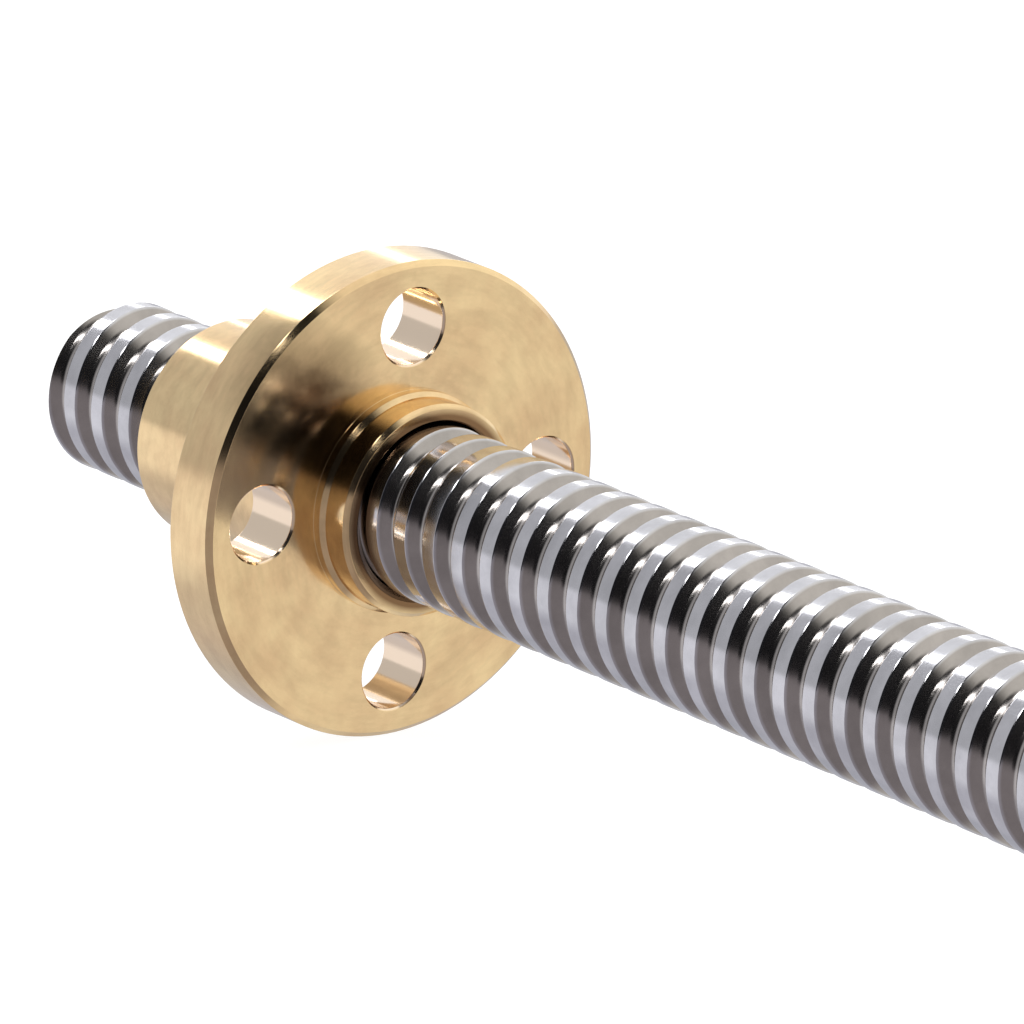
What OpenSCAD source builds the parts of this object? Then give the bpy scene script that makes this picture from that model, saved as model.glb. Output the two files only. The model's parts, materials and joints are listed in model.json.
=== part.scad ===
// Trapezoidal lead screw with its flanged nut, lying at rest on a level surface.
// The screw is laid along its own z first, with the nut near its far end.

/* [Screw] */
// Length of the screw
screw_length = 100; // [60:1:120]
// Outer diameter, over the thread's crests
major_d = 8; // [6:0.5:12]
// Distance from one crest to the next along the screw
pitch = 2; // [2:0.25:4]
// Number of separate threads side by side
starts = 1; // [1:1:4]
// Depth of the groove between two crests
thread_depth = 0.5; // [0.3:0.05:0.65]
// Width of the flat top of a crest
crest_w = 0.8; // [0.5:0.05:0.9]
// Slope of each flank, measured from square to the screw
flank_angle = 40; // [15:1:45]
// Turn of the thread about the screw at its far end
thread_turn = 325; // [0:5:355]
// Bevel that breaks the edge of each cut end
end_bevel = 0.16; // [0.1:0.01:0.5]

/* [Nut] */
// Diameter of the mounting flange
flange_d = 22; // [20:0.5:30]
// Thickness of the mounting flange
flange_t = 3; // [2.5:0.25:6]
// Outer diameter of the barrel behind the flange
barrel_d = 10.2; // [9.8:0.1:11]
// Length of the barrel behind the flange
barrel_l = 10; // [5:0.5:15]
// Outer diameter of the short boss in front of the flange
boss_d = 9.8; // [9.6:0.1:11]
// Height of the short boss in front of the flange
boss_h = 2; // [1:0.25:4]
// Bevel on both edges of the flange's rim
rim_bevel = 0.25; // [0.1:0.01:0.8]
// Bevel on the outer edges of the barrel and the boss
sleeve_bevel = 0.2; // [0.1:0.05:0.4]
// Bevel at both mouths of the bore
mouth_bevel = 0.15; // [0.05:0.05:0.3]
// Gap all round between the crests and the nut's bore
thread_gap = 0.1; // [0.05:0.01:0.1]

/* [Bolt holes] */
// Number of bolt holes in the flange
bolt_count = 4; // [2:1:6]
// Diameter of the circle through the bolt holes
bolt_circle_d = 16; // [15:0.25:18]
// Diameter of each bolt hole
bolt_hole_d = 3.5; // [2:0.1:4]

/* [Place] */
// Length of screw that stands out behind the nut's barrel
screw_behind = 8; // [0:0.5:40]

/* [Hidden] */

steel = [0.68, 0.68, 0.71];
brass = [0.84, 0.69, 0.42];

// Thread, from the driving sizes
major_r = major_d / 2;
root_r = major_r - thread_depth;
lead = pitch * starts;
flank_run = thread_depth * tan(flank_angle);
root_w = pitch - crest_w - 2 * flank_run;
thread_sides = 24;
side_turn = 360 / thread_sides;

// One thread's outline: the distance past the start of a crest, and the radius there
crest_end = crest_w;
root_start = crest_end + flank_run;
root_end = root_start + root_w;
outline = [[0, major_r], [crest_end, major_r], [root_start, root_r], [root_end, root_r], [pitch, major_r]];
corners = len(outline) - 1;

// Crests counted from before the far end to past the near end, at every angle
first_crest = -(starts + 2);
last_crest = ceil(screw_length / pitch) + 1;
column = (last_crest - first_crest + 1) * corners;

// Nut, from the barrel's end to the boss's face
nut_length = barrel_l + flange_t + boss_h;
bore_r = major_r + thread_gap;
flange_front = barrel_l + flange_t;

// The part rests on the rim's front edge and on the screw's near end, with a flat side of each one down
lathe_sides = 96;
flat_r = major_r * cos(side_turn / 2);
rim_rest = screw_behind + flange_front - rim_bevel;
tip_rest = screw_length - end_bevel;
rest_tilt = atan((flange_d / 2 - flat_r) / (tip_rest - rim_rest));
axis_height = flange_d / 2 * cos(rest_tilt) + rim_rest * sin(rest_tilt);

// How far a place on the screw, at a given turn, lies past the start of a crest
function past_crest(z, turn) =
    let (along = z - lead * (turn + thread_turn) / 360) along - pitch * floor(along / pitch);

// Largest radius that the bevel leaves at a place on the screw
function bevel_r(z) = major_r - end_bevel + min(z, screw_length - z);

// Radius of the screw's surface at a place and a turn
function surface_r(z, turn) = min(lookup(past_crest(z, turn), outline), bevel_r(z));

// Corner k of the outline at a turn, kept within the screw's two ends
function corner_z(k, turn) =
    let (crest = first_crest + floor(k / corners), along = crest * pitch + outline[k % corners][0])
    max(0, min(screw_length, along + lead * (turn + thread_turn) / 360));

function corner_point(k, turn) =
    let (z = corner_z(k, turn), r = surface_r(z, turn)) [r * cos(turn), r * sin(turn), z];

// Number of the point at side i and corner k: past the last side it is the next crest along
function point_at(i, k) =
    let (around = i % thread_sides, on = floor(i / thread_sides) * starts * corners)
    around * column + min(k + on, column - 1);

module screw() {
    points = [
        for (i = [0 : thread_sides - 1], k = [0 : column - 1]) corner_point(k, (i + 0.5) * side_turn),
        [0, 0, 0],
        [0, 0, screw_length]
    ];
    far_centre = len(points) - 2;
    near_centre = len(points) - 1;
    skin = [
        for (i = [0 : thread_sides - 1], k = [0 : column - 2])
            let (a = point_at(i, k), b = point_at(i + 1, k), c = point_at(i + 1, k + 1), d = point_at(i, k + 1))
            each [[a, d, b], [b, d, c]]
    ];
    ends = [
        for (i = [0 : thread_sides - 1]) each [
            [far_centre, point_at(i, 0), point_at(i + 1, 0)],
            [near_centre, point_at(i + 1, column - 1), point_at(i, column - 1)]
        ]
    ];
    faces = [
        for (f = concat(skin, ends))
            if (points[f[0]] != points[f[1]] && points[f[1]] != points[f[2]] && points[f[2]] != points[f[0]]) f
    ];
    color(steel) lying() polyhedron(points = points, faces = faces, convexity = 10);
}

module nut() {
    color(brass) lying() translate([0, 0, screw_behind]) difference() {
        rotate(180 / lathe_sides) rotate_extrude($fn = lathe_sides) nut_section();
        bolt_holes();
    }
}

// Half of the nut's section: the distance from the axis, and the distance from the barrel's end
module nut_section() {
    barrel_r = barrel_d / 2;
    flange_r = flange_d / 2;
    boss_r = boss_d / 2;
    polygon([
        [bore_r + mouth_bevel, 0],
        [barrel_r - sleeve_bevel, 0],
        [barrel_r, sleeve_bevel],
        [barrel_r, barrel_l],
        [flange_r - rim_bevel, barrel_l],
        [flange_r, barrel_l + rim_bevel],
        [flange_r, flange_front - rim_bevel],
        [flange_r - rim_bevel, flange_front],
        [boss_r, flange_front],
        [boss_r, nut_length - sleeve_bevel],
        [boss_r - sleeve_bevel, nut_length],
        [bore_r + mouth_bevel, nut_length],
        [bore_r, nut_length - mouth_bevel],
        [bore_r, mouth_bevel]
    ]);
}

module bolt_holes() {
    for (i = [0 : bolt_count - 1])
        rotate(i * 360 / bolt_count) translate([bolt_circle_d / 2, 0, barrel_l - flange_t / 2])
            cylinder(d = bolt_hole_d, h = 2 * flange_t, $fn = 48);
}

// Lays the part down, with its near end towards +X and its lowest points at z = 0
module lying() {
    translate([-screw_length / 2 * cos(rest_tilt), 0, axis_height])
        rotate([0, 90 + rest_tilt, 0])
            children();
}

screw();
nut();
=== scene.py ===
"""Looks for the trapezoidal lead screw and its flanged nut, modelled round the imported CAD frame."""

import json
import math

import bpy
from bpy.props import FloatProperty, FloatVectorProperty, IntProperty, PointerProperty
from mathutils import Matrix, Vector


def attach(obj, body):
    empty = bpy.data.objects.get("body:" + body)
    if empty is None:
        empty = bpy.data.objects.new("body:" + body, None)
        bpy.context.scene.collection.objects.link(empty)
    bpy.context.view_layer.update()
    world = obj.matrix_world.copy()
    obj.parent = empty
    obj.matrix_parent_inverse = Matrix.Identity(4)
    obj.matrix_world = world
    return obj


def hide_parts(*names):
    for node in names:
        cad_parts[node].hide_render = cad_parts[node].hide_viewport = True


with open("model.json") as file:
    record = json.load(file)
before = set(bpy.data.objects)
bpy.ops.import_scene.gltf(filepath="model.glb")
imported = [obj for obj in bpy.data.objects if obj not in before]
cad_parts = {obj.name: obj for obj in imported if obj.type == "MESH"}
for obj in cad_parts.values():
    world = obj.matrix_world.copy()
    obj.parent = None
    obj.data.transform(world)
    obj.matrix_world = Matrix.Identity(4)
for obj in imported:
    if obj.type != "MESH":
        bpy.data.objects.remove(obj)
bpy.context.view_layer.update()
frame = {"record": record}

bl_info = {
    "name": "Trapezoidal lead screw",
    "version": (1, 0, 0),
    "blender": (4, 5, 0),
    "location": "View3D > Sidebar > Lead screw",
    "description": "Models a lead screw with its flanged nut, their finishes and a small studio",
    "category": "Add Mesh",
}

MOUNTS = {m["name"]: m for m in frame["record"]["mounts"]}
FAR_END = Vector(MOUNTS["far_end"]["pos_m"])
NEAR_END = Vector(MOUNTS["near_end"]["pos_m"])
AXIS = (NEAR_END - FAR_END).normalized()
BOLT_SEAT = Vector(MOUNTS["nut_bolts"]["pos_m"])
BOLTS = MOUNTS["nut_bolts"]["dims"]
BENCH = 1000.0  # pieces are modelled in millimetres, upright at the origin, and then laid in place

# Corners closer than these, in millimetres, become one
OUTLINE_WELD = 0.002
LATHE_WELD = 0.001
THREAD_WELD = 0.0005
FINISHED_WELD = 0.0003

CUT_REACH = 0.0001  # corners this close to a flat cut, in millimetres, count as lying on it
OVERSHOOT = 1.0  # how far a tool or a blank reaches past the piece, in millimetres

# Light that comes to the metal from each side of the room, above the level and below it
ABOVE_FRONT_RIGHT = (0.012, 0.012, 0.014, 1)
ABOVE_FRONT_LEFT = (0.60, 0.60, 0.62, 1)
ABOVE_BACK_RIGHT = (1.1, 1.08, 1.02, 1)
ABOVE_BACK_LEFT = (1.08, 1.08, 1.1, 1)
BELOW_FRONT_RIGHT = (0.38, 0.35, 0.37, 1)
BELOW_FRONT_LEFT = (0.97, 0.96, 1.0, 1)
DEEP_FRONT_LEFT = (0.66, 0.65, 0.70, 1)
BELOW_BACK_RIGHT = (0.86, 0.84, 0.82, 1)
BELOW_BACK_LEFT = (0.55, 0.55, 0.60, 1)

# Name, way towards the lamp, distance, length, width and brightness, in metres
LAMPS = (
    ("strip_lamp", (-0.656, 0.04, 0.754), 0.6, 0.55, 0.085, 6.5),
    ("second_strip", (-0.69, 0.62, 0.37), 0.7, 0.5, 0.06, 2.4),
    ("front_strip", (0.05, -0.41, 0.91), 0.6, 0.87, 0.08, 7.0),
)
LAMP_AIM = Vector((0, 0, 0.012))


# Sizes and finishes that a user may change


class ThreadSizes(bpy.types.PropertyGroup):
    length: FloatProperty(
        name="Length", description="Length of the screw", unit="LENGTH",
        default=(NEAR_END - FAR_END).length,
    )
    major: FloatProperty(
        name="Crest radius", description="Radius over the crests", unit="LENGTH",
        default=MOUNTS["far_end"]["dims"]["r_mm"] / BENCH,
    )
    pitch: FloatProperty(
        name="Pitch", description="Distance from crest to crest", unit="LENGTH", default=0.002
    )
    depth: FloatProperty(
        name="Depth", description="Depth of the groove", unit="LENGTH", default=0.0005
    )
    crest: FloatProperty(
        name="Crest width", description="Width of the flat crest, its rounded edges included",
        unit="LENGTH", default=0.0008,
    )
    flank: FloatProperty(
        name="Flank angle", description="Slope of the flanks", subtype="ANGLE",
        default=math.radians(40),
    )
    crest_round: FloatProperty(
        name="Crest rounding", description="Radius of the crest's two edges", unit="LENGTH",
        default=0.00008,
    )
    root_round: FloatProperty(
        name="Root rounding", description="Radius of the groove's two corners", unit="LENGTH",
        default=0.00036,
    )
    turn: FloatProperty(
        name="Thread turn", description="Turn of the thread at the far end", subtype="ANGLE",
        default=math.radians(325),
    )
    end_bevel: FloatProperty(
        name="End bevel", description="Bevel at the cut ends", unit="LENGTH", default=0.00016
    )
    sides: IntProperty(
        name="Sides", description="Steps in one turn of the thread", default=90, min=24
    )


class NutSizes(bpy.types.PropertyGroup):
    flange_radius: FloatProperty(
        name="Flange radius", description="Radius of the flange", unit="LENGTH", default=0.011
    )
    flange_thickness: FloatProperty(
        name="Flange thickness", description="Thickness of the flange", unit="LENGTH",
        default=0.003,
    )
    barrel_radius: FloatProperty(
        name="Barrel radius", description="Radius of the barrel behind the flange", unit="LENGTH",
        default=0.0051,
    )
    boss_radius: FloatProperty(
        name="Boss radius", description="Radius of the boss in front of the flange", unit="LENGTH",
        default=0.0049,
    )
    collar: FloatProperty(
        name="Collar", description="Height of the low collar round the boss", unit="LENGTH",
        default=0.0006,
    )
    barrel_length: FloatProperty(
        name="Barrel length", description="Length of the barrel behind the flange", unit="LENGTH",
        default=0.010,
    )
    boss_height: FloatProperty(
        name="Boss height", description="Height of the boss in front of the flange", unit="LENGTH",
        default=0.002,
    )
    rim_bevel: FloatProperty(
        name="Rim bevel", description="Bevel on both edges of the rim", unit="LENGTH",
        default=0.00025,
    )
    sleeve_bevel: FloatProperty(
        name="Sleeve bevel", description="Bevel on the ends of the barrel and the boss",
        unit="LENGTH", default=0.0002,
    )
    mouth_radius: FloatProperty(
        name="Mouth radius", description="Radius of the countersink at both mouths", unit="LENGTH",
        default=0.0042,
    )
    minor_radius: FloatProperty(
        name="Minor radius", description="Radius inside the nut's thread crests", unit="LENGTH",
        default=0.00365,
    )
    clearance: FloatProperty(
        name="Thread clearance", description="Play between the two threads", unit="LENGTH",
        default=0.00012,
    )
    hole_edge: FloatProperty(
        name="Hole edge", description="Bevel at the edges of the bolt holes", unit="LENGTH",
        default=0.0001,
    )
    sides: IntProperty(name="Sides", description="Steps round the nut", default=144, min=48)


class Finishes(bpy.types.PropertyGroup):
    steel: FloatVectorProperty(
        name="Steel", description="Colour of the rolled steel", subtype="COLOR", size=3,
        default=(0.60, 0.60, 0.63), min=0, max=1,
    )
    steel_groove: FloatVectorProperty(
        name="Groove", description="Colour of the steel down in the groove", subtype="COLOR",
        size=3, default=(0.42, 0.395, 0.38), min=0, max=1,
    )
    brass: FloatVectorProperty(
        name="Brass", description="Colour of the turned brass", subtype="COLOR", size=3,
        default=(0.91, 0.695, 0.39), min=0, max=1,
    )
    brass_cloud: FloatVectorProperty(
        name="Brass clouds", description="Colour of the faint clouds on the brass", subtype="COLOR",
        size=3, default=(0.77, 0.55, 0.31), min=0, max=1,
    )
    # Painted shade: brown darkening in the bore, its mouths and the ring round them
    brass_painted_shade: FloatVectorProperty(
        name="Brass painted shade", description="Colour of the brass inside the bore", subtype="COLOR",
        size=3, default=(0.24, 0.14, 0.07), min=0, max=1,
    )
    # Painted pale reflection on the bolt holes' walls, lighter than the brass round them
    brass_painted_hole_light: FloatVectorProperty(
        name="Bolt hole walls", description="Colour of the painted pale reflection in the bolt holes",
        subtype="COLOR", size=3, default=(0.90, 0.74, 0.57), min=0, max=1,
    )
    # Painted dark reflection: a brown patch on the flange's front that stands in for the dark
    # reflection there
    brass_painted_reflection: FloatVectorProperty(
        name="Brass painted reflection", description="Colour of the tarnished patch on the flange",
        subtype="COLOR", size=3, default=(0.17, 0.10, 0.05), min=0, max=1,
    )


class StudioSizes(bpy.types.PropertyGroup):
    lens: FloatProperty(name="Lens", description="Focal length in millimetres", default=512.32)
    distance: FloatProperty(
        name="Distance", description="Distance from the nut to the camera", unit="LENGTH",
        default=0.64901,
    )
    azimuth: FloatProperty(
        name="Azimuth", description="Camera's direction round the part, from +X", subtype="ANGLE",
        default=math.radians(-39.176),
    )
    elevation: FloatProperty(
        name="Elevation", description="Camera's height above the level", subtype="ANGLE",
        default=math.radians(12.538),
    )
    aim_right: FloatProperty(
        name="Aim right", description="How far the picture's middle lies right of the nut",
        unit="LENGTH", default=0.004833,
    )
    aim_down: FloatProperty(
        name="Aim down", description="How far the picture's middle lies below the nut",
        unit="LENGTH", default=0.000537,
    )
    floor: FloatProperty(
        name="Floor", description="Width of the floor", unit="LENGTH", default=6.0
    )


class LeadScrewSettings(bpy.types.PropertyGroup):
    thread: PointerProperty(type=ThreadSizes)
    nut: PointerProperty(type=NutSizes)
    finish: PointerProperty(type=Finishes)
    studio: PointerProperty(type=StudioSizes)


# Bench work


def clear_selection():
    if bpy.context.mode != "OBJECT":
        bpy.ops.object.mode_set(mode="OBJECT")
    bpy.ops.object.select_all(action="DESELECT")


def take_up(obj):
    """Selects one object alone and makes it active."""
    clear_selection()
    obj.select_set(True)
    bpy.context.view_layer.objects.active = obj


def edit_all():
    bpy.ops.object.mode_set(mode="EDIT")
    bpy.context.tool_settings.mesh_select_mode = (True, False, False)
    bpy.ops.mesh.select_all(action="SELECT")


def soften_corners(corners, closed):
    """Turns corners (radius, along, rounding) into points (radius, along), each corner rounded."""
    points = []
    count = len(corners)
    for i, (r, z, rounding) in enumerate(corners):
        here = Vector((r, z))
        if rounding <= 0 or (not closed and i in (0, count - 1)):
            points.append(here)
            continue
        before = Vector(corners[i - 1][:2]) - here
        after = Vector(corners[(i + 1) % count][:2]) - here
        half = before.angle(after) / 2
        nearly_straight = math.radians(89)
        if half > nearly_straight:
            points.append(here)
            continue
        before.normalize()
        after.normalize()
        middle = here + (before + after).normalized() * (rounding / math.sin(half))
        wide_rounding = 0.3
        steps = 3 if rounding < wide_rounding else 5
        start = here + before * (rounding / math.tan(half)) - middle
        sweep = math.pi - 2 * half
        if start.cross(-before) < 0:
            sweep = -sweep
        for k in range(steps + 1):
            c, s = math.cos(sweep * k / steps), math.sin(sweep * k / steps)
            points.append(middle + Vector((start.x * c - start.y * s, start.x * s + start.y * c)))
    return points


def draw_outline(name, points, closed):
    """Draws an outline by extruding one vertex from point to point, in the plane of x and z."""
    clear_selection()
    first = points[0]
    seed_size = 0.02
    bpy.ops.mesh.primitive_plane_add(size=seed_size, location=(first[0], 0, first[1]))
    obj = bpy.context.active_object
    obj.name = name
    bpy.ops.object.transform_apply(location=True, rotation=True, scale=True)
    edit_all()
    bpy.ops.mesh.merge(type="CENTER")
    path = points + [first] if closed else points
    for a, b in zip(path, path[1:]):
        step = (b[0] - a[0], 0, b[1] - a[1])
        bpy.ops.mesh.extrude_vertices_move(TRANSFORM_OT_translate={"value": step})
    if closed:
        bpy.ops.mesh.select_all(action="SELECT")
        bpy.ops.mesh.remove_doubles(threshold=OUTLINE_WELD)
    bpy.ops.object.mode_set(mode="OBJECT")
    return obj


def turn_on_lathe(name, corners, closed, sides):
    """Spins an outline round z into a closed turned piece."""
    obj = draw_outline(name, soften_corners(corners, closed), closed)
    take_up(obj)
    edit_all()
    bpy.ops.mesh.spin(steps=sides, angle=2 * math.pi, center=(0, 0, 0), axis=(0, 0, 1))
    bpy.ops.mesh.select_all(action="SELECT")
    bpy.ops.mesh.remove_doubles(threshold=LATHE_WELD)
    bpy.ops.mesh.normals_make_consistent(inside=False)
    bpy.ops.object.mode_set(mode="OBJECT")
    return obj


def cut_thread(name, sizes, bottom, top, grow, sides):
    """A threaded rod from bottom to top, grown all over by grow, with square filled ends."""
    spare_turns = 2
    major = sizes.major * BENCH + grow
    root = (sizes.major - sizes.depth) * BENCH + grow
    pitch = sizes.pitch * BENCH
    slant = math.tan(sizes.flank)
    half_crest = sizes.crest * BENCH / 2 + grow / math.cos(sizes.flank) - grow * slant
    run = sizes.depth * BENCH * slant
    crest_round, root_round = sizes.crest_round * BENCH, sizes.root_round * BENCH
    corners = [
        (major, 0, 0),
        (major, half_crest, crest_round),
        (root, half_crest + run, root_round),
        (root, pitch - half_crest - run, root_round),
        (major, pitch - half_crest, crest_round),
        (major, pitch, 0),
    ]
    crest_middle = sizes.crest * BENCH / 2 + pitch * sizes.turn / (2 * math.pi)
    first = math.floor((bottom - crest_middle) / pitch) - spare_turns
    start = crest_middle + first * pitch
    outline = [(p[0], p[1] + start) for p in soften_corners(corners, False)]
    obj = draw_outline(name, outline, False)
    twist = obj.modifiers.new("Thread", "SCREW")
    twist.axis = "Z"
    twist.angle = 2 * math.pi
    twist.screw_offset = pitch
    twist.iterations = math.ceil((top - start) / pitch) + spare_turns
    twist.steps = twist.render_steps = sides
    take_up(obj)
    bpy.ops.object.modifier_apply(modifier=twist.name)
    edit_all()
    bpy.ops.mesh.remove_doubles(threshold=THREAD_WELD)
    for place, way in ((bottom, 1), (top, -1)):
        bpy.ops.mesh.select_all(action="SELECT")
        bpy.ops.mesh.bisect(
            plane_co=(0, 0, place),
            plane_no=(0, 0, way),
            use_fill=True,
            clear_inner=True,
            threshold=CUT_REACH,
        )
    bpy.ops.mesh.select_all(action="SELECT")
    bpy.ops.mesh.remove_doubles(threshold=THREAD_WELD)
    bpy.ops.mesh.normals_make_consistent(inside=False)
    bpy.ops.object.mode_set(mode="OBJECT")
    return obj


def machine(obj, tool, way):
    """Cuts obj with the tool, or keeps only what lies in it, and puts the tool away."""
    step = obj.modifiers.new("Machining", "BOOLEAN")
    step.operation = way
    step.solver = "EXACT"
    step.object = tool
    take_up(obj)
    bpy.ops.object.modifier_apply(modifier=step.name)
    take_up(tool)
    bpy.ops.object.delete()


def lay_down(obj, smooth):
    """Shades a piece smooth up to an angle and lays it along the screw's axis, in metres."""
    take_up(obj)
    edit_all()
    bpy.ops.mesh.remove_doubles(threshold=FINISHED_WELD)
    bpy.ops.object.mode_set(mode="OBJECT")
    bpy.ops.object.shade_smooth_by_angle(angle=smooth)
    weigh = obj.modifiers.new("Even shading", "WEIGHTED_NORMAL")
    weigh.keep_sharp = True
    bpy.ops.object.modifier_apply(modifier=weigh.name)
    obj.matrix_world = bench_to_frame()
    bpy.ops.object.transform_apply(location=True, rotation=True, scale=True)


def bench_to_frame():
    """From millimetres on the bench to metres in the frame."""
    side = Vector((0, 1, 0))
    down = side.cross(AXIS)
    turn = Matrix((down, side, AXIS)).transposed().to_4x4()
    return Matrix.Translation(FAR_END) @ turn @ Matrix.Scale(1 / BENCH, 4)


# Finishes


class Wiring:
    """Adds nodes to one tree and joins them."""

    spacing = 180

    def __init__(self, tree, column=0):
        self.tree = tree
        self.column = column

    def add(self, kind, values=None, **settings):
        node = self.tree.nodes.new(kind)
        node.location = (self.column, 0)
        self.column += self.spacing
        for key, value in settings.items():
            setattr(node, key, value)
        for socket, value in (values or {}).items():
            if isinstance(value, bpy.types.NodeSocket):
                self.tree.links.new(value, node.inputs[socket])
            else:
                node.inputs[socket].default_value = value
        return node

    def math(self, way, a, b=None):
        values = {0: a} if b is None else {0: a, 1: b}
        return self.add("ShaderNodeMath", values, operation=way).outputs[0]

    def sum(self, *parts):
        """Adds up (value, weight) pairs."""
        total = self.math("MULTIPLY", *parts[0])
        for value, weight in parts[1:]:
            total = self.math("ADD", total, self.math("MULTIPLY", value, weight))
        return total

    def length(self, across, up):
        squares = [self.math("POWER", value, 2.0) for value in (across, up)]
        return self.math("SQRT", self.math("ADD", *squares))

    def noise(self, place, scale, detail, roughness):
        return self.add(
            "ShaderNodeTexNoise",
            {"Vector": place, "Scale": scale, "Detail": detail, "Roughness": roughness},
        ).outputs["Fac"]

    def between(self, value, low, high, to_low=0.0, to_high=1.0):
        return self.add(
            "ShaderNodeMapRange",
            {
                "Value": value,
                "From Min": low,
                "From Max": high,
                "To Min": to_low,
                "To Max": to_high,
            },
            clamp=True,
        ).outputs[0]

    def shade(self, colour, strength):
        """Multiplies a colour by one strength."""
        grey = self.add("ShaderNodeCombineXYZ", {0: strength, 1: strength, 2: strength}).outputs[0]
        return self.blend(1.0, colour, grey, "MULTIPLY")

    def blend(self, amount, a, b, way="MIX"):
        """Mixes two colours, which go into the sockets 6 and 7 of the node."""
        values = {"Factor": amount, 6: a, 7: b}
        return self.add("ShaderNodeMix", values, data_type="RGBA", blend_type=way).outputs[2]


def new_group(name, inputs, outputs):
    """A shader group with named sockets, and its wiring."""
    group = bpy.data.node_groups.new(name, "ShaderNodeTree")
    for socket, kind, value in inputs:
        made = group.interface.new_socket(name=socket, in_out="INPUT", socket_type=kind)
        if value is not None:
            made.default_value = value
    for socket, kind in outputs:
        group.interface.new_socket(name=socket, in_out="OUTPUT", socket_type=kind)
    wiring = Wiring(group)
    entry = group.nodes.new("NodeGroupInput")
    leave = group.nodes.new("NodeGroupOutput")
    return group, wiring, entry, leave


def tool_marks_group():
    """Rings left by the tool: they follow the distance from the axis and the place along it."""
    name = "Tool marks"
    if name in bpy.data.node_groups:
        return bpy.data.node_groups[name]
    group, w, entry, leave = new_group(
        name,
        [
            ("Place", "NodeSocketVector", None),
            ("Fineness", "NodeSocketFloat", 8.0),
            ("Waver", "NodeSocketFloat", 0.1),
        ],
        [("Rings", "NodeSocketFloat"), ("Radius", "NodeSocketFloat")],
    )
    down, side, along = w.add("ShaderNodeSeparateXYZ", {0: entry.outputs["Place"]}).outputs
    radius = w.length(down, side)
    around = w.math("MULTIPLY", w.math("ARCTAN2", side, down), entry.outputs["Waver"])
    ring_place = w.add("ShaderNodeCombineXYZ", {0: radius, 1: around, 2: along}).outputs[0]
    rings = w.noise(ring_place, entry.outputs["Fineness"], detail=3.0, roughness=0.6)
    group.links.new(rings, leave.inputs["Rings"])
    group.links.new(radius, leave.inputs["Radius"])
    return group


def clouds_group():
    """Soft uneven patches with fine grain in them."""
    name = "Clouds"
    if name in bpy.data.node_groups:
        return bpy.data.node_groups[name]
    group, w, entry, leave = new_group(
        name,
        [("Place", "NodeSocketVector", None), ("Size", "NodeSocketFloat", 3.0)],
        [("Patches", "NodeSocketFloat"), ("Grain", "NodeSocketFloat")],
    )
    place = entry.outputs["Place"]
    scale = w.math("DIVIDE", 1.0, entry.outputs["Size"])
    broad = w.noise(place, scale, detail=5.0, roughness=0.62)
    group.links.new(w.between(broad, 0.36, 0.66), leave.inputs["Patches"])
    finer = 14.0
    fine = w.noise(place, w.math("MULTIPLY", scale, finer), detail=3.0, roughness=0.6)
    group.links.new(fine, leave.inputs["Grain"])
    return group


def hairlines_group():
    """Thin scratches in two directions."""
    name = "Hairlines"
    if name in bpy.data.node_groups:
        return bpy.data.node_groups[name]
    group, w, entry, leave = new_group(
        name,
        [("Place", "NodeSocketVector", None), ("Amount", "NodeSocketFloat", 0.3)],
        [("Lines", "NodeSocketFloat")],
    )
    lines = []
    directions = (((0.4, 0.2, 0.9), (14.0, 0.7, 3.0)), ((1.1, 0.5, 2.3), (0.8, 11.0, 2.5)))
    for turn, stretch in directions:
        values = {"Vector": entry.outputs["Place"], "Rotation": turn, "Scale": stretch}
        place = w.add("ShaderNodeMapping", values).outputs[0]
        scratches = w.noise(place, 1.0, detail=2.0, roughness=0.4)
        lines.append(w.between(scratches, 0.66, 0.72))
    both = w.math("MAXIMUM", lines[0], lines[1])
    group.links.new(w.math("MULTIPLY", both, entry.outputs["Amount"]), leave.inputs["Lines"])
    return group


def start_material(name):
    """A metal with its patterns placed in millimetres, as on the bench with the screw along z."""
    material = bpy.data.materials.new(name)
    material.use_nodes = True
    tree = material.node_tree
    shader = tree.nodes["Principled BSDF"]
    shader.inputs["Metallic"].default_value = 1.0
    left_edge = -2600
    w = Wiring(tree, left_edge)
    place = bench_to_frame()
    mapping = w.add(
        "ShaderNodeMapping",
        {
            "Vector": w.add("ShaderNodeTexCoord").outputs["Object"],
            "Location": place.translation,
            "Rotation": place.to_euler(),
            "Scale": (1 / BENCH, 1 / BENCH, 1 / BENCH),
        },
        vector_type="TEXTURE",
    )
    return material, shader, w, mapping.outputs[0]


def finish_material(w, shader, colour, rough, relief):
    """Joins a metal's colour, roughness and relief in millimetres to its shader."""
    w.tree.links.new(colour, shader.inputs["Base Color"])
    w.tree.links.new(rough, shader.inputs["Roughness"])
    bump = w.add("ShaderNodeBump", {"Height": relief, "Distance": 1 / BENCH, "Strength": 1.0})
    w.tree.links.new(bump.outputs[0], shader.inputs["Normal"])


def use_group(w, group, **values):
    """Places a node group in a tree and gives its outputs."""
    return w.add("ShaderNodeGroup", values, node_tree=group).outputs


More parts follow.
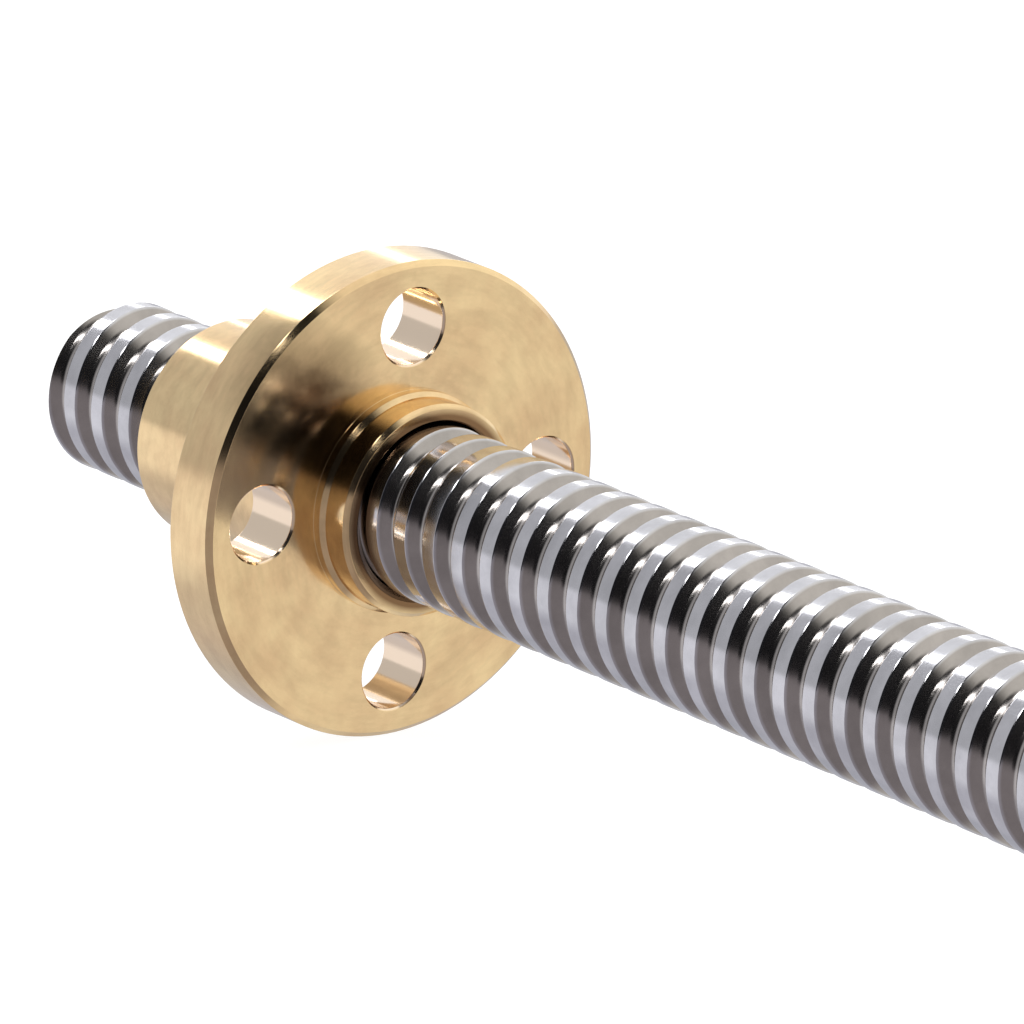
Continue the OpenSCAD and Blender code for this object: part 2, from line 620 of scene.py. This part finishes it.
def rolled_steel(colours, sizes):
    """Bright rolled steel, finely lined round the crests and browner down in the groove."""
    material, shader, w, place = start_material("Rolled steel")
    marks = use_group(w, tool_marks_group(), Place=place, Fineness=16.0, Waver=0.5)
    clouds = use_group(w, clouds_group(), Place=place, Size=2.4)
    lines = use_group(w, hairlines_group(), Place=place, Amount=0.5)["Lines"]
    groove_from, crest_from = 0.12, 0.03  # millimetres below the crest
    crest = sizes.major * BENCH
    height = w.between(marks["Radius"], crest - groove_from, crest - crest_from)
    colour = w.blend(height, (*colours.steel_groove, 1), (*colours.steel, 1))
    darkest, lightest = 0.84, 1.05
    colour = w.shade(colour, w.between(clouds["Patches"], 0, 1, darkest, lightest))
    groove_rough, crest_rough = 0.16, 0.11
    polish = w.between(height, 0, 1, groove_rough, crest_rough)
    rough = w.math("ADD", polish, w.sum((clouds["Grain"], 0.05), (lines, 0.06)))
    relief = w.sum((marks["Rings"], 0.0003), (clouds["Grain"], 0.0003), (lines, -0.0002))
    finish_material(w, shader, colour, rough, relief)
    return material


def turned_brass(colours, sizes):
    """Satin turned brass with faint swirls, a painted dark reflection on the flange, painted brown
    shade in the bore, and painted pale hole walls.
    """
    material, shader, w, place = start_material("Turned brass")
    marks = use_group(w, tool_marks_group(), Place=place, Fineness=1.6, Waver=2.6)
    clouds = use_group(w, clouds_group(), Place=place, Size=3.2)
    lines = use_group(w, hairlines_group(), Place=place, Amount=0.3)["Lines"]
    colour = w.blend(clouds["Patches"], (*colours.brass, 1), (*colours.brass_cloud, 1))
    darkest, lightest = 0.90, 1.02
    colour = w.shade(colour, w.between(marks["Rings"], 0.34, 0.60, darkest, lightest))
    for mask, shown in (
        # painted shade in the bore and on the ring round its mouth
        (painted_bore_shade(w, marks["Radius"], sizes), colours.brass_painted_shade),
        # painted dark reflection on the flange's front
        (painted_reflection(w, place, clouds["Patches"], sizes), colours.brass_painted_reflection),
        # painted pale reflection on the bolt holes' walls
        (painted_hole_wall_light(w, place), colours.brass_painted_hole_light),
    ):
        colour = w.blend(mask, colour, (*shown, 1))
    least_rough = 0.11
    rough = w.math("ADD", least_rough, w.sum((clouds["Patches"], 0.06), (lines, 0.06)))
    relief = w.sum((marks["Rings"], 0.002), (clouds["Grain"], 0.0006), (lines, -0.0003))
    finish_material(w, shader, colour, rough, relief)
    return material


def painted_bore_shade(w, radius, sizes):
    """Painted shade, 1 in the bore and 0 past the ring round its mouth."""
    ring_start, ring_end = 0.2, 0.6  # millimetres past the mouth's radius
    mouth = sizes.mouth_radius * BENCH
    return w.between(radius, mouth + ring_start, mouth + ring_end, 1.0, 0.0)


def painted_reflection(w, place, patches, sizes):
    """1 in the middle of a dark reflection painted on the flange's front as a brown patch, fading out
    round it.
    """
    front = ((BOLT_SEAT - FAR_END).dot(AXIS) + sizes.flange_thickness) * BENCH
    values = {
        "Vector": place,
        "Location": (-5.0, -5.6, front),
        "Rotation": (0, 0, math.radians(49)),
        "Scale": (5.2, 4.0, 3.0),
    }
    patch = w.add("ShaderNodeMapping", values, vector_type="TEXTURE").outputs[0]
    reach = w.add("ShaderNodeVectorMath", {0: patch}, operation="LENGTH").outputs["Value"]
    raggedness, fade_start, fade_end = 0.3, 0.3, 1.15  # of the patch's own reach
    ragged = w.math("ADD", reach, w.math("MULTIPLY", patches, raggedness))
    return w.between(ragged, fade_end, fade_start)


def painted_hole_wall_light(w, place):
    """Painted pale reflection, 1 within the bolt holes, which lie on the two lines square to the
    screw.
    """
    spread = w.add("ShaderNodeVectorMath", {0: place}, operation="ABSOLUTE").outputs["Vector"]
    down, side, _ = w.add("ShaderNodeSeparateXYZ", {0: spread}).outputs
    out = w.math("SUBTRACT", w.math("MAXIMUM", down, side), BOLTS["pcd_mm"] / 2)
    from_middle = w.length(out, w.math("MINIMUM", down, side))
    edge = BOLTS["hole_r_mm"]
    fade_start, fade_end = 0.04, 0.1  # millimetres past the hole's radius
    return w.between(from_middle, edge + fade_end, edge + fade_start)


# Pieces


class LEADSCREW_OT_screw(bpy.types.Operator):
    """Models the threaded screw with rounded crests and two cut ends"""

    bl_idname = "lead_screw.screw"
    bl_label = "Threaded screw"

    def execute(self, context):
        sizes = context.scene.lead_screw.thread
        length = sizes.length * BENCH
        radius = sizes.major * BENCH
        bevel = sizes.end_bevel * BENCH
        screw = cut_thread("threaded_screw", sizes, 0.0, length, 0.0, sizes.sides)
        spare, blank_sides, fewest_faces, smooth = 0.5, 96, 20000, math.radians(28)
        blank = turn_on_lathe(
            "blank",
            [
                (0, -OVERSHOOT, 0),
                (radius - bevel - OVERSHOOT, -OVERSHOOT, 0),
                (radius + spare, bevel + spare, 0),
                (radius + spare, length - bevel - spare, 0),
                (radius - bevel - OVERSHOOT, length + OVERSHOOT, 0),
                (0, length + OVERSHOOT, 0),
            ],
            False,
            blank_sides,
        )
        machine(screw, blank, "INTERSECT")
        lay_down(screw, smooth)
        if len(screw.data.polygons) < fewest_faces:
            raise RuntimeError("the thread was lost when its ends were cut")
        screw.data.materials.clear()
        screw.data.materials.append(rolled_steel(context.scene.lead_screw.finish, sizes))
        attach(screw, "screw")
        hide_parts("screw")
        return {"FINISHED"}


class LEADSCREW_OT_nut(bpy.types.Operator):
    """Turns the flanged nut, drills its bolt holes and taps its thread"""

    bl_idname = "lead_screw.nut"
    bl_label = "Flanged nut"

    def execute(self, context):
        settings = context.scene.lead_screw
        sizes = settings.nut
        seat = (BOLT_SEAT - FAR_END).dot(AXIS) * BENCH
        start = seat - sizes.barrel_length * BENCH
        front = seat + sizes.flange_thickness * BENCH
        end = front + sizes.boss_height * BENCH
        rim = sizes.flange_radius * BENCH
        sleeve, boss = sizes.barrel_radius * BENCH, sizes.boss_radius * BENCH
        collar = front + sizes.collar * BENCH
        rim_bevel, sleeve_bevel = sizes.rim_bevel * BENCH, sizes.sleeve_bevel * BENCH
        mouth, minor = sizes.mouth_radius * BENCH, sizes.minor_radius * BENCH
        nut = turn_on_lathe(
            "flanged_nut",
            [
                (mouth, start, 0.03),
                (sleeve - sleeve_bevel, start, 0.04),
                (sleeve, start + sleeve_bevel, 0.04),
                (sleeve, seat, 0.2),
                (rim - rim_bevel, seat, 0.04),
                (rim, seat + rim_bevel, 0.05),
                (rim, front - rim_bevel, 0.05),
                (rim - rim_bevel, front, 0.04),
                (sleeve, front, 0.02),
                (sleeve, collar - (sleeve - boss), 0.04),
                (boss, collar, 0.02),
                (boss, end - sleeve_bevel, 0.05),
                (boss - sleeve_bevel, end, 0.05),
                (mouth, end, 0.04),
                (minor, end - (mouth - minor), 0.05),
                (minor, start + (mouth - minor), 0.05),
            ],
            True,
            sizes.sides,
        )
        self.drill_holes(nut, sizes, seat, front)
        tap_sides, fewest_faces, smooth = 96, 5000, math.radians(33)
        grow = sizes.clearance * BENCH
        low, high = start - OVERSHOOT, end + OVERSHOOT
        tap = cut_thread("tap", settings.thread, low, high, grow, tap_sides)
        machine(nut, tap, "DIFFERENCE")
        lay_down(nut, smooth)
        if len(nut.data.polygons) < fewest_faces:
            raise RuntimeError("the nut was lost when it was tapped")
        nut.data.materials.clear()
        nut.data.materials.append(turned_brass(settings.finish, sizes))
        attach(nut, "nut")
        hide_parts("nut")
        return {"FINISHED"}

    def drill_holes(self, nut, sizes, seat, front):
        """Shapes one drill, copies it round the bolt circle and drills with each."""
        radius = BOLTS["hole_r_mm"]
        edge = sizes.hole_edge * BENCH
        out, drill_sides = 0.5, 64
        first = turn_on_lathe(
            "drill",
            [
                (0, seat - out, 0),
                (radius + edge + out, seat - out, 0),
                (radius, seat + edge, 0.05),
                (radius, front - edge, 0.05),
                (radius + edge + out, front + out, 0),
                (0, front + out, 0),
            ],
            False,
            drill_sides,
        )
        drills = [first]
        for _ in range(BOLTS["count"] - 1):
            take_up(first)
            bpy.ops.object.duplicate(linked=False)
            drills.append(bpy.context.active_object)
        reach = BOLTS["pcd_mm"] / 2
        for i, drill in enumerate(drills):
            angle = 2 * math.pi * i / BOLTS["count"]
            take_up(drill)
            drill.location = (reach * math.cos(angle), reach * math.sin(angle), 0)
            bpy.ops.object.transform_apply(location=True, rotation=True, scale=True)
            machine(nut, drill, "DIFFERENCE")


# Studio


def softbox(name, way, distance, long, wide, brightness):
    """A flat lamp towards way, seen from the part, with its long side along the screw."""
    lamp = bpy.data.lights.new(name, "AREA")
    lamp.shape = "RECTANGLE"
    lamp.size, lamp.size_y = long, wide
    lamp.energy = brightness * math.pi * long * wide
    obj = bpy.data.objects.new(name, lamp)
    bpy.context.scene.collection.objects.link(obj)
    back = Vector(way).normalized()
    along = (AXIS - AXIS.dot(back) * back).normalized()
    across = back.cross(along)
    place = Matrix((along, across, back)).transposed().to_4x4()
    place.translation = LAMP_AIM + back * distance
    obj.matrix_world = place


def paint_room():
    """A room for the reflections, whose sides each have their own light above and below."""
    world = bpy.data.worlds.new("Studio room")
    bpy.context.scene.world = world
    world.use_nodes = True
    tree = world.node_tree
    tree.nodes.clear()
    w = Wiring(tree)
    way = w.add("ShaderNodeSeparateXYZ", {0: w.add("ShaderNodeTexCoord").outputs["Generated"]})
    east, north, height = way.outputs
    # Each mask goes from 0 to 1 between two values of the direction, whose length is 1
    behind = w.between(north, -0.04, 0.16)
    left = w.between(east, 0.0, -0.4)
    low = w.between(height, 0.10, 0.03)
    deep = w.between(height, -0.36, -0.50)
    above_front = w.blend(left, ABOVE_FRONT_RIGHT, ABOVE_FRONT_LEFT)
    above_back = w.blend(left, ABOVE_BACK_RIGHT, ABOVE_BACK_LEFT)
    below_left = w.blend(deep, BELOW_FRONT_LEFT, DEEP_FRONT_LEFT)
    below_front = w.blend(left, BELOW_FRONT_RIGHT, below_left)
    below_back = w.blend(left, BELOW_BACK_RIGHT, BELOW_BACK_LEFT)
    above = w.blend(behind, above_front, above_back)
    below = w.blend(behind, below_front, below_back)
    room = w.blend(low, above, below)
    lit = w.add("ShaderNodeBackground", {"Color": room, "Strength": 1.0})
    seen = w.add("ShaderNodeBackground", {"Color": (1, 1, 1, 1), "Strength": 1.0})
    look = w.add("ShaderNodeLightPath").outputs["Is Camera Ray"]
    pick = w.add("ShaderNodeMixShader", {0: look, 1: lit.outputs[0], 2: seen.outputs[0]})
    w.add("ShaderNodeOutputWorld", {"Surface": pick.outputs[0]})


def lit_table():
    """A white table that the camera sees, while reflections look past it into the room below."""
    material = bpy.data.materials.new("Lit white table")
    material.use_nodes = True
    tree = material.node_tree
    seen = tree.nodes["Principled BSDF"]
    seen.inputs["Base Color"].default_value = (0.2, 0.2, 0.2, 1)
    seen.inputs["Roughness"].default_value = 0.9
    seen.inputs["Emission Color"].default_value = (1, 1, 1, 1)
    seen.inputs["Emission Strength"].default_value = 0.92
    w = Wiring(tree)
    clear = w.add("ShaderNodeBsdfTransparent")
    look = w.add("ShaderNodeLightPath").outputs["Is Camera Ray"]
    pick = w.add("ShaderNodeMixShader", {0: look, 1: clear.outputs[0], 2: seen.outputs[0]})
    tree.links.new(pick.outputs[0], tree.nodes["Material Output"].inputs["Surface"])
    return material


class LEADSCREW_OT_studio(bpy.types.Operator):
    """Sets up the lit floor, the soft lamps, the room and the camera"""

    bl_idname = "lead_screw.studio"
    bl_label = "Studio"

    def execute(self, context):
        sizes = context.scene.lead_screw.studio
        clear_selection()
        bpy.ops.mesh.primitive_plane_add(size=sizes.floor, location=(0, 0, 0))
        floor = context.active_object
        floor.name = "floor"
        floor.data.materials.append(lit_table())
        paint_room()
        for lamp in LAMPS:
            softbox(*lamp)
        self.place_camera(context, sizes)
        context.scene.view_settings.view_transform = "Standard"
        return {"FINISHED"}

    def place_camera(self, context, sizes):
        nut_front = BOLT_SEAT + AXIS * context.scene.lead_screw.nut.flange_thickness
        back = Vector(
            (
                math.cos(sizes.azimuth) * math.cos(sizes.elevation),
                math.sin(sizes.azimuth) * math.cos(sizes.elevation),
                math.sin(sizes.elevation),
            )
        )
        right = Vector((0, 0, 1)).cross(back).normalized()
        up = back.cross(right)
        camera = bpy.data.cameras.new("Camera")
        camera.lens = sizes.lens
        camera.sensor_width = 36.0
        camera.clip_start, camera.clip_end = 0.01, 20.0
        obj = bpy.data.objects.new("Camera", camera)
        context.scene.collection.objects.link(obj)
        place = Matrix((right, up, back)).transposed().to_4x4()
        aim = nut_front + right * sizes.aim_right - up * sizes.aim_down
        place.translation = aim + back * sizes.distance
        obj.matrix_world = place
        context.scene.camera = obj


class LEADSCREW_PT_panel(bpy.types.Panel):
    """Lists the pieces and their sizes"""

    bl_idname = "LEADSCREW_PT_panel"
    bl_label = "Lead screw"
    bl_space_type = "VIEW_3D"
    bl_region_type = "UI"
    bl_category = "Lead screw"

    def draw(self, context):
        settings = context.scene.lead_screw
        for operator, group in (
            ("lead_screw.screw", settings.thread),
            ("lead_screw.nut", settings.nut),
            ("lead_screw.studio", settings.studio),
        ):
            box = self.layout.box()
            box.operator(operator)
            self.list_values(box, group)
        self.list_values(self.layout, settings.finish)

    def list_values(self, layout, group):
        for name in group.bl_rna.properties.keys():
            if name not in ("rna_type", "name"):
                layout.prop(group, name)


CLASSES = (
    ThreadSizes,
    NutSizes,
    Finishes,
    StudioSizes,
    LeadScrewSettings,
    LEADSCREW_OT_screw,
    LEADSCREW_OT_nut,
    LEADSCREW_OT_studio,
    LEADSCREW_PT_panel,
)


def register():
    for item in CLASSES:
        bpy.utils.register_class(item)
    bpy.types.Scene.lead_screw = PointerProperty(type=LeadScrewSettings)


def unregister():
    del bpy.types.Scene.lead_screw
    for item in reversed(CLASSES):
        bpy.utils.unregister_class(item)


def main():
    register()
    bpy.ops.lead_screw.screw()
    bpy.ops.lead_screw.nut()
    bpy.ops.lead_screw.studio()


if __name__ == "__main__":
    main()
